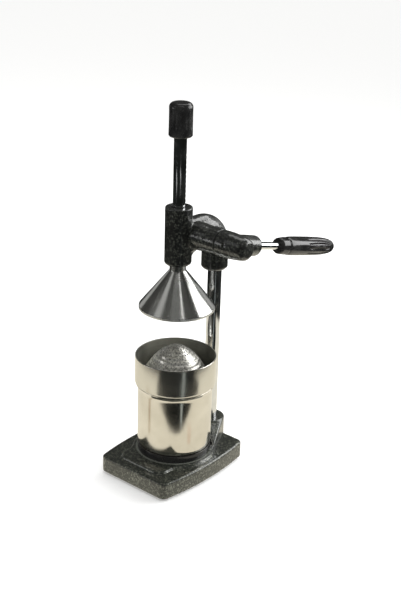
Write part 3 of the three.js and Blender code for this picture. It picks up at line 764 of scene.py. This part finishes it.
def build_collar():
    low, high = span("strainer_collar")
    ledge = CUP_RIM + 0.6
    spigot = CUP_RADIUS - CUP_SHEET - 0.3
    sheet = 1.2
    bead = 0.75
    rim = arc(COLLAR_RADIUS - bead, high - bead, bead, 0, math.pi, 8)
    profile = rounded([
        (spigot, low, 0.4), (spigot, ledge, 0.8), (COLLAR_RADIUS - 0.3, ledge, 0.5),
    ]) + [(COLLAR_RADIUS, ledge + 1.0), (COLLAR_RADIUS, ledge + 2)] + rim + rounded([
        (COLLAR_RADIUS - sheet - 0.15, high - 3), (COLLAR_RADIUS - sheet, ledge + sheet, 1.2),
        (spigot - sheet, ledge + sheet, 0.8), (spigot - sheet, low, 0.4),
    ])
    collar = as_object("collar", turned(profile, 160))
    finish_piece(collar, "cup", COLLAR_STEEL, "stainless", "strainer_collar")
    # The inner wall's faces take the darker material: painted shade inside the ring.
    collar.data.materials.append(COLLAR_INSIDE)
    wall = (COLLAR_RADIUS - sheet / 2) * MM
    for face in collar.data.polygons:
        if face.center.xy.length < wall and face.center.z > ledge * MM:
            face.material_index = 1


def reamer_line():
    low, high = span("reamer_dome")
    crown = smooth_curve([
        (0, high), (4, high - 0.2), (9, high - 1.4), (14.5, high - 4.2), (19.5, high - 8.6),
    ], 6)
    flank = [(19.5, 174.9), (22.6, 173.2), (23.9, 170.3), (27.0, 169.0), (28.3, 165.6), (31.0, 164.2),
             (32.3, 160.6), (35.0, 159.0), (36.3, 155.0), (38.7, 153.4), (40.0, 149.6), (42.2, 148.2),
             (43.5, 144.8), (45.7, 143.4), (47.0, 140.0), (48.6, 138.4)]
    rounds = rounded([(r, z, 1.1) for r, z in flank], steps=3)
    brim = rounded([(48.6, 138.4), (49.6, low + 1.7, 1.0), (53.2, low + 1.6, 0.4), (53.2, low)])
    return (crown + rounds[1:] + brim[1:])[::-1]


DRAIN_RADIUS = 1.0
DRAIN_ROWS = ((3.2, 5), (7.2, 11), (11.2, 17), (15.2, 24), (18.6, 29))


def build_reamer():
    line = reamer_line()
    inner = offset_line(line[3:], 1.2)[::-1]
    shell = turned(line + inner + [(49.5, line[0][1])], 128)
    reamer = as_object("reamer", shell)
    drills = []
    for radius, count in DRAIN_ROWS:
        for i in range(count):
            angle = 2 * math.pi * (i + 0.5 * (count % 2)) / count
            drill = rod(DRAIN_RADIUS, 150, 190, 0, 12)
            drills.append(moved(drill, shift(radius * math.cos(angle), radius * math.sin(angle), 0)))
    machined(reamer, drills)
    finish_piece(reamer, "cup", SATIN, "satin_metal", "reamer_dome")


# ------------------------------------------------------------------ column

def build_column():
    low, high = span("column_tube")
    radius = middle_radius("column_tube")
    profile = rounded([
        (radius, low, 0.3), (radius, high, 0.3), (radius - 2, high, 0.2), (radius - 2, low, 0.2),
    ], closed=True)
    column = as_object("column", moved(turned(profile, 96), shift(0, COLUMN_Y, 0)))
    finish_piece(column, "frame", CHROME, "chrome", "column_tube")


# ------------------------------------------------------------------ head

TUBE_RADIUS = 18.0
TUBE_BOTTOM = 300.0
TUBE_TOP = span("head_casting")[1]
ARM_RADIUS = 17.4
ARM_Z = 340.5
ARM_BEND = 34.0
HOUSING_END = span("head_casting", 0)[1]
HEAD_BOSS_BOTTOM = span("head_casting")[0]
HEAD_BOSS_RADIUS, HEAD_BOSS_FORWARD = 18.2, 1.2
HOUSING_START = 14.0
ROD_BUSH_OUTER, ROD_BUSH_INNER = 11.3, 8.45
HEAD_SCREW_Z = middle("head_set_screw").z / MM
BUSH_SCREW_X = (middle("bush_set_screw") - PRESS_AXIS).x / MM


def arm_path():
    """Level from the guide tube, then a quarter bend down to the column."""
    side = Vector((1, 0, 0))
    stations = []
    level = COLUMN_Y - ARM_BEND
    for y in (0, level / 3, level * 2 / 3):
        stations.append((Vector((0, y, ARM_Z)), Vector((0, 1, 0)), side))
    for i in range(25):
        angle = math.pi / 2 * i / 24
        centre = Vector((0, level + ARM_BEND * math.sin(angle), ARM_Z - ARM_BEND * (1 - math.cos(angle))))
        stations.append((centre, Vector((0, math.cos(angle), -math.sin(angle))), side))
    stations.append((Vector((0, COLUMN_Y, ARM_Z - ARM_BEND - 8)), Vector((0, 0, -1)), side))
    return stations


def gusset():
    """A small hollow web between the guide tube and the underside of the housing."""
    low, high, reach = 308, PINION_Z - 15, 19.4
    hollow = smooth_curve([
        (8.6, low), (9.6, low + 2.5), (11.2, low + 5.2), (13.4, low + 7.8), (16.2, low + 10.4),
        (reach, low + 13),
    ], 3)
    outline = [(2, low)] + hollow + [(reach, high), (2, high)]
    upright = Matrix.Rotation(math.pi / 2, 4, "X")
    return moved(prism(outline, -6, 6), shift(0, PINION_Y - 5, 0) @ upright)


def build_head():
    guide = turned(rounded([(0, TUBE_BOTTOM), (TUBE_RADIUS - 3.4, TUBE_BOTTOM, 1),
                            (TUBE_RADIUS, TUBE_BOTTOM + 3, 2.5), (TUBE_RADIUS, TUBE_TOP, 1.2),
                            (0, TUBE_TOP)]), 64)
    boss_top = ARM_Z - ARM_BEND + 2
    boss = turned(rounded([(0, HEAD_BOSS_BOTTOM), (HEAD_BOSS_RADIUS - 3, HEAD_BOSS_BOTTOM, 0.8),
                           (HEAD_BOSS_RADIUS, HEAD_BOSS_BOTTOM + 3, 1.5), (HEAD_BOSS_RADIUS, boss_top, 1),
                           (0, boss_top)]), 64)
    housing = turned(rounded([(0, -22), (10.5, -22, 0.6), (12.5, -20, 1), (12.5, HOUSING_START),
                              (18.5, HOUSING_START, 1.0), (18.5, HOUSING_START + 12, 6),
                              (17.3, HOUSING_START + 28, 6),
                              (17.3, HOUSING_END, 0.6), (0, HOUSING_END)]), 64)
    head = casting("cast_head", [
        guide,
        swept(arm_path(), ARM_RADIUS, 48),
        moved(boss, shift(0, COLUMN_Y - HEAD_BOSS_FORWARD, 0)),
        moved(housing, ON_PINION),
        gusset(),
    ], 0.8, 5)
    machined(head, [
        rod(11.5, 200, 400, 0, 64),
        moved(rod(middle_radius("column_tube") + COLUMN_PLAY, 200, 306.3, 0, 64), shift(0, COLUMN_Y, 0)),
        moved(rod(13.4, -8, 90, 0, 64), ON_PINION),
        moved(rod(8.7, -18.5, 0, 0, 48), ON_PINION),
        moved(rod(3.2, 0, 40, 0, 32), shift(0, COLUMN_Y, HEAD_SCREW_Z) @ ALONG_Y),
        moved(rod(2.7, PINION_Z - 40, PINION_Z, 0, 32), shift(BUSH_SCREW_X, PINION_Y, 0)),
    ])
    finish_piece(head, "frame", HEAD_ENAMEL, "hammertone", "head_casting")


def build_guide_bushes():
    for node in ("lower_guide_bush", "upper_guide_bush"):
        low, high = span(node)
        profile = rounded([
            (ROD_BUSH_OUTER, low, 0.4), (ROD_BUSH_OUTER, high, 0.4),
            (ROD_BUSH_INNER, high, 0.6), (ROD_BUSH_INNER, low, 0.6),
        ], closed=True)
        bush = as_object(node.replace("guide_bush", "rod_bush"), turned(profile, 72))
        finish_piece(bush, "frame", PLASTIC, "black_plastic", node)


# ------------------------------------------------------------------ ram

def rack_comb():
    """The rack's tooth spaces. Module 2, 20 degree flanks, on the rod's rear side."""
    pitch = 2 * math.pi
    slope = math.tan(math.radians(20))
    pitch_depth, tip, root = PINION_Y - 11, 7.3, 3.5
    half = pitch / 4 + 0.125
    tip_half = half + (tip - pitch_depth) * slope
    root_half = half - (pitch_depth - root) * slope
    last = math.ceil(TRAVEL / pitch) + 2
    outline = [(9.5, PINION_Z - 2.5 * pitch), (tip, PINION_Z - 2.5 * pitch)]
    for i in range(-2, last + 1):
        z = PINION_Z + i * pitch
        outline += [(tip, z - tip_half), (root, z - root_half), (root, z + root_half), (tip, z + tip_half)]
    outline += [(tip, PINION_Z + (last + 0.5) * pitch), (9.5, PINION_Z + (last + 0.5) * pitch)]
    return moved(prism([(-z, y) for y, z in outline], -12, 12), ALONG_X)


def build_rod():
    low, high = span("rack_rod")
    radius = middle_radius("rack_rod")
    bar = as_object("ram_rod", rod(radius, low, high, 0.6, 96))
    machined(bar, [rack_comb(), rod(3.3, low - 5, 313, 0, 24)])
    bevel = bar.modifiers.new("broken_edges", "BEVEL")
    bevel.width = 0.15 * MM
    bevel.segments = 2
    bevel.limit_method = "ANGLE"
    bevel.angle_limit = math.radians(30)
    applied(bar)
    finish_piece(bar, "ram", CHROME, "chrome", "rack_rod")


def build_cap():
    low, high = span("rod_cap")
    radius = middle_radius("rod_cap")
    flutes = 12

    def fluted(r, z, angle):
        if r < radius - 1.5:
            return r
        rise = min(max((z - low - 7) / 8, 0), 1) * min(max((high - 8 - z) / 5, 0), 1)
        valley = (0.5 - 0.5 * math.cos(flutes * angle)) ** 2
        return r - 0.75 * valley * rise * rise * (3 - 2 * rise)

    wall = [(radius - 0.1 * i / 24, low + 2 + (high - low - 8.2) * i / 24) for i in range(25)]
    crown = arc(radius - 6.3, high - 6.2, 6.2, 0, math.pi / 2, 12)
    edge = rounded([(9, low), (radius - 1.3, low, 0.4), (radius, low + 1.5, 0.4), wall[0]])
    profile = [(0, 499.6), (8.45, 499.6), (8.45, low)] + edge + wall[1:-1] + crown + [(0, high)]
    knob = as_object("top_knob", turned(profile, 144, fluted))
    finish_piece(knob, "ram", PLASTIC, "black_plastic", "rod_cap")


LIP_TOP = 242


def build_bell():
    low, high = span("press_bell")
    rim = middle_radius("press_bell")
    profile = rounded([
        (rim - 2.2, low, 0.5), (rim, low, 0.7), (rim, 242.2, 1.6), (10.9, 292.6, 2.6), (10.6, high, 0.6),
        (8.45, high, 0.2), (8.45, 295.7), (3.3, 295.7), (3.3, 291.4), (6.2, 288), (11.6, 288, 1.5),
        (rim - 2.2, 241.2, 1.5),
    ], closed=True)
    bell = as_object("bell", turned(profile, 192))
    finish_piece(bell, "ram", SPUN, "satin_metal", "press_bell")
    # The lip's faces take the lighter material: a painted highlight along the rim.
    bell.data.materials.append(LIP_HIGHLIGHT)
    for face in bell.data.polygons:
        if face.center.z < LIP_TOP * MM and face.center.xy.length > (rim - 1.5) * MM:
            face.material_index = 1


# ------------------------------------------------------------------ lever

SHAFT_END = span("pinion_shaft", 0)[1]
BOSS_END = 50.5
LEVER_ROD_RADIUS = 5.2
GRIP_START, GRIP_END = 103.5, 237.0


def build_hub():
    inner = HOUSING_END + 0.6 - LEVER_X
    end = span("lever_hub", 0)[1] - LEVER_X
    barrel = moved(turned(rounded([(0, inner), (17.3, inner, 0.6), (17.3, 0, 12), (16.6, 8, 12),
                                   (15, end - 9, 14), (13.8, end - 4.6, 4), (10.5, end - 1.5, 4),
                                   (0, end)]), 64), ALONG_X)
    boss = moved(turned(rounded([(0, 0), (14.4, 0), (14.2, 30, 4), (13.6, BOSS_END - 2, 1.2),
                                 (11.6, BOSS_END, 0.8), (0, BOSS_END)]), 64), ALONG_Y)
    hub = casting("lever_elbow", [moved(barrel, ON_LEVER), moved(boss, ON_LEVER)], 0.7, 4)
    machined(hub, [
        moved(rod(6.15, inner - 5, SHAFT_END + 0.3 - LEVER_X, 0, 48), ON_LEVER @ ALONG_X),
        moved(rod(LEVER_ROD_RADIUS + 0.15, 15.7, 60, 0, 48), ON_LEVER @ ALONG_Y),
        moved(rod(3.2, -40, 0, 0, 32), ON_LEVER @ ALONG_Y),
    ])
    finish_piece(hub, "lever", HEAD_ENAMEL, "hammertone", "lever_hub")


def build_lever_rod():
    shaft = moved(rod(LEVER_ROD_RADIUS, 16, 219, 0.5, 64), ON_LEVER @ ALONG_Y)
    finish_piece(as_object("handle_rod", shaft), "lever", CHROME, "chrome", "lever_rod")


def build_grip():
    flutes, first, last = 12, GRIP_START + 58, GRIP_END - 17

    def fluted(r, z, angle):
        along = (z - first) / (last - first)
        if not 0 < along < 1 or r < 6:
            return r
        width = 0.36 * math.sin(math.pi * along) ** 0.6
        offset = abs((angle * flutes / (2 * math.pi) + 0.3) % 1 - 0.5)
        dip = max(0, 1 - (offset / width) ** 2)
        return r - 0.9 * dip * min(1, 4 * math.sin(math.pi * along))

    handle = [(12.1, 19.5), (12.7, 25), (13.05, 36), (13.1, 51), (13.05, 71), (12.75, 91), (12.0, 107),
              (10.7, 118.5), (8.6, 127), (5.3, 132), (2, 133.3), (0, 133.5)]
    shape = smooth_curve([(r, GRIP_START + z) for r, z in handle], 7)
    ferrule = [(5.35, 0), (9.9, 0, 0.8), (11.0, 2, 1), (12.0, 13.5, 1), (11.6, 16.2, 0.3), (11.0, 17, 0.3),
               (11.8, 18.6, 0.4), (12.1, 19.5)]
    collar = rounded([(r, GRIP_START + z, *fillet) for r, z, *fillet in ferrule])
    profile = [(0, 220), (5.35, 220)] + collar + shape[1:]
    grip = moved(turned(profile, 192, fluted), ON_LEVER @ ALONG_Y)
    finish_piece(as_object("handle_grip", grip), "lever", GRIP_PLASTIC, "black_plastic", "lever_grip")


# ------------------------------------------------------------------ CAD pieces that stay

def dress_inner_pieces():
    """Metal for the CAD nodes. Those that no piece replaces keep their CAD shape."""
    for name, piece in frame["nodes"].items():
        finish = BRONZE if "bush" in name and "screw" not in name else STEEL
        piece.data.materials.clear()
        piece.data.materials.append(finish)
        shade(piece)


# ------------------------------------------------------------------ studio and camera

CAMERA_AZIMUTH = math.radians(39.84)
TO_CAMERA = Vector((math.sin(CAMERA_AZIMUTH), -math.cos(CAMERA_AZIMUTH), 0))
TO_RIGHT = Vector((math.cos(CAMERA_AZIMUTH), math.sin(CAMERA_AZIMUTH), 0))
TABLE_RADIUS = 560
FLOOR_HALF = 9000
CARD_WHITE = (0.8, 0.8, 0.8)


def plain_material(name, colour, glow=0.0):
    made = bpy.data.materials.new(name)
    made.use_nodes = True
    surface = made.node_tree.nodes["Principled BSDF"]
    surface.inputs["Base Color"].default_value = (*colour, 1)
    surface.inputs["Roughness"].default_value = 0.9
    surface.inputs["Specular IOR Level"].default_value = 0.1
    surface.inputs["Emission Color"].default_value = (*colour, 1)
    surface.inputs["Emission Strength"].default_value = glow
    return made


def flat_sheet(name, outline, height, material):
    """A level sheet of the studio. The outline is in mm about the press axis."""
    data = bpy.data.meshes.new(name)
    corners = [(PRESS_AXIS.x + x * MM, PRESS_AXIS.y + y * MM, height * MM) for x, y in outline]
    data.from_pydata(corners, [], [range(len(corners))])
    data.materials.append(material)
    sheet = bpy.data.objects.new(name, data)
    bpy.context.scene.collection.objects.link(sheet)
    return sheet


def reflector(name, outline, height, colour):
    """A card that only shows as a reflection in the metal and the enamel."""
    sheet = flat_sheet(name, outline, height, plain_material(name, (0, 0, 0)))
    surface = sheet.data.materials[0].node_tree.nodes["Principled BSDF"]
    surface.inputs["Emission Color"].default_value = (*colour, 1)
    surface.inputs["Emission Strength"].default_value = 1.0
    sheet.visible_camera = False
    sheet.visible_diffuse = False
    sheet.visible_shadow = False
    sheet.visible_transmission = False
    sheet.visible_volume_scatter = False
    return sheet


def softbox(name, direction, distance, size, radiance):
    """An area light of a given brightness that faces the press from a direction."""
    light = bpy.data.lights.new(name, "AREA")
    light.shape = "RECTANGLE"
    light.size, light.size_y = size
    light.energy = radiance * math.pi * size[0] * size[1]
    lamp = bpy.data.objects.new(name, light)
    centre = PRESS_AXIS + Vector((0, 0, 0.25))
    aim = Vector(direction).normalized()
    lamp.location = centre + aim * distance
    lamp.rotation_euler = aim.to_track_quat("Z", "Y").to_euler()
    bpy.context.scene.collection.objects.link(lamp)


def build_world():
    """A pale room for the floor and the paint, and a dim one for what the metal mirrors."""
    world = bpy.data.worlds.new("studio_walls")
    world.use_nodes = True
    bpy.context.scene.world = world
    tree = world.node_tree
    place = tree.nodes.new("ShaderNodeTexCoord").outputs["Generated"]
    split = tree.nodes.new("ShaderNodeSeparateXYZ")
    tree.links.new(place, split.inputs[0])
    ramp = tree.nodes.new("ShaderNodeValToRGB")
    stops = ((0.0, 0.08), (0.2, 0.05), (0.5, 0.06), (0.8, 0.09), (1.0, 0.2))
    for i, (position, grey) in enumerate(stops):
        stop = ramp.color_ramp.elements[i] if i < 2 else ramp.color_ramp.elements.new(position)
        stop.position = position
        stop.color = (grey, grey, grey * 0.96, 1)
    tree.links.new(split.outputs["Z"], ramp.inputs["Fac"])
    path = tree.nodes.new("ShaderNodeLightPath")
    mix = tree.nodes.new("ShaderNodeMix")
    mix.data_type = "RGBA"
    mix.inputs[6].default_value = (0.85, 0.85, 0.84, 1)
    tree.links.new(path.outputs["Is Glossy Ray"], mix.inputs[0])
    tree.links.new(ramp.outputs["Color"], mix.inputs[7])
    tree.links.new(mix.outputs[2], tree.nodes["Background"].inputs["Color"])


def on_table(spots):
    """Plan positions from (distance towards the camera, distance to its right) pairs, all in mm."""
    return [tuple((TO_CAMERA * along + TO_RIGHT * side).xy) for along, side in spots]


def strip(spots, near_width, far_width):
    """A tapering band laid along a line of (towards the camera, to its right) spots."""
    left, right = [], []
    for i, spot in enumerate(spots):
        here = Vector(spot)
        along = Vector(spots[min(i + 1, len(spots) - 1)]) - Vector(spots[max(i - 1, 0)])
        side = Vector((-along.y, along.x)).normalized()
        half = (near_width + (far_width - near_width) * i / (len(spots) - 1)) / 2
        left.append(tuple(here + side * half))
        right.append(tuple(here - side * half))
    return on_table(left + right[::-1])


def window(name, azimuth, elevation, size, radiance):
    """A softbox at an azimuth from the camera's side and an elevation, in degrees."""
    turn, lift = math.radians(azimuth), math.radians(elevation)
    direction = (TO_CAMERA * math.cos(turn) + TO_RIGHT * math.sin(turn)) * math.cos(lift)
    softbox(name, direction + Vector((0, 0, math.sin(lift))), 1.5, size, radiance)


def build_stage():
    room = (0.006, 0.007, 0.006)
    floor = [(-FLOOR_HALF, -FLOOR_HALF), (FLOOR_HALF, -FLOOR_HALF), (FLOOR_HALF, FLOOR_HALF),
             (-FLOOR_HALF, FLOOR_HALF)]
    flat_sheet("floor", floor, 0, plain_material("pale_floor", (0.9, 0.9, 0.9), 0.22))
    reflector("dark_room", floor, 0.2, room)
    reflector("warm_table", arc(0, 0, TABLE_RADIUS, 0, 2 * math.pi, 96)[:-1], 0.4, (0.86, 0.81, 0.68))
    reflector("dark_front", on_table([
        (900, -420), (560, -390), (300, -310), (252, -267), (206, -215), (209, -175), (213, -148), (212, -93),
        (199, -43), (185, 15), (183, 60), (186, 100), (187, 124), (183, 160), (178, 186), (171, 229),
        (148, 262), (150, 330), (175, 400), (560, 470), (900, 520),
    ]), 0.6, room)
    reflector("dark_rear", on_table([(-900, -120), (-900, 120), (-170, 60), (-170, -60)]), 0.6, room)
    reflector("bright_strip", strip([(196, 68), (362, 149), (900, 411)], 13, 80), 0.8, (0.42, 0.46, 0.45))
    reflector("brown_streak", strip([(53, -150), (62, -230), (70, -310)], 18, 46), 0.8, (0.58, 0.49, 0.37))
    reflector("rosy_streak", strip([(108, 92), (150, 140)], 22, 40), 0.8, (0.80, 0.68, 0.55))
    far_left = on_table([(800, -1500), (1000, -1500), (1100, -1000), (900, -1000)])
    reflector("far_left", far_left, 0.8, CARD_WHITE)
    far_right = on_table([(1300, 650), (1500, 700), (1900, 350), (1700, 280)])
    reflector("far_right", far_right, 0.8, CARD_WHITE)
    window("left_window", -66, 40, (0.5, 0.6), 0.6)
    window("low_left_window", -78, 8, (0.6, 0.3), 2.5)
    window("rear_left_window", -142, 6, (0.6, 0.5), 0.45)
    window("rear_right_window", 142, 6, (0.6, 0.5), 0.45)
    window("front_window", 0, 68, (0.7, 0.4), 0.8)
    window("right_window", 104, 22, (1.2, 1.0), 5)
    window("right_rear_window", 143, 42, (0.7, 0.5), 4)
    window("slit", 25, 53, (0.1, 0.4), 3)
    softbox("overhead", TO_CAMERA * -0.5 + TO_RIGHT * 0.1 + Vector((0, 0, 1)), 1.8, (1.0, 0.6), 2)


CAMERA_ELEVATION = math.radians(22.38)
CAMERA_ROLL = math.radians(1.74)
CAMERA_LENS = 68.75
CAMERA_PLACE = (923.05, -1057.82, 827.34)


def build_camera():
    data = bpy.data.cameras.new("camera")
    data.lens = CAMERA_LENS
    data.clip_start = 0.01
    camera = bpy.data.objects.new("camera", data)
    back = Vector((math.sin(CAMERA_AZIMUTH) * math.cos(CAMERA_ELEVATION),
                   -math.cos(CAMERA_AZIMUTH) * math.cos(CAMERA_ELEVATION), math.sin(CAMERA_ELEVATION)))
    right = Vector((math.cos(CAMERA_AZIMUTH), math.sin(CAMERA_AZIMUTH), 0))
    up = back.cross(right)
    turned_right = right * math.cos(CAMERA_ROLL) + up * math.sin(CAMERA_ROLL)
    turned_up = up * math.cos(CAMERA_ROLL) - right * math.sin(CAMERA_ROLL)
    turn = Matrix((turned_right, turned_up, back)).transposed().to_4x4()
    camera.matrix_world = Matrix.Translation(Vector(CAMERA_PLACE) * MM + PRESS_AXIS) @ turn
    bpy.context.scene.collection.objects.link(camera)
    bpy.context.scene.camera = camera


bpy.context.scene.view_settings.view_transform = "Standard"
build_camera()
build_world()
build_stage()
dress_inner_pieces()
build_base()
build_feet()
build_seat_ring()
build_cup()
build_collar()
build_reamer()
build_column()
build_head()
build_guide_bushes()
build_rod()
build_cap()
build_bell()
build_hub()
build_lever_rod()
build_grip()
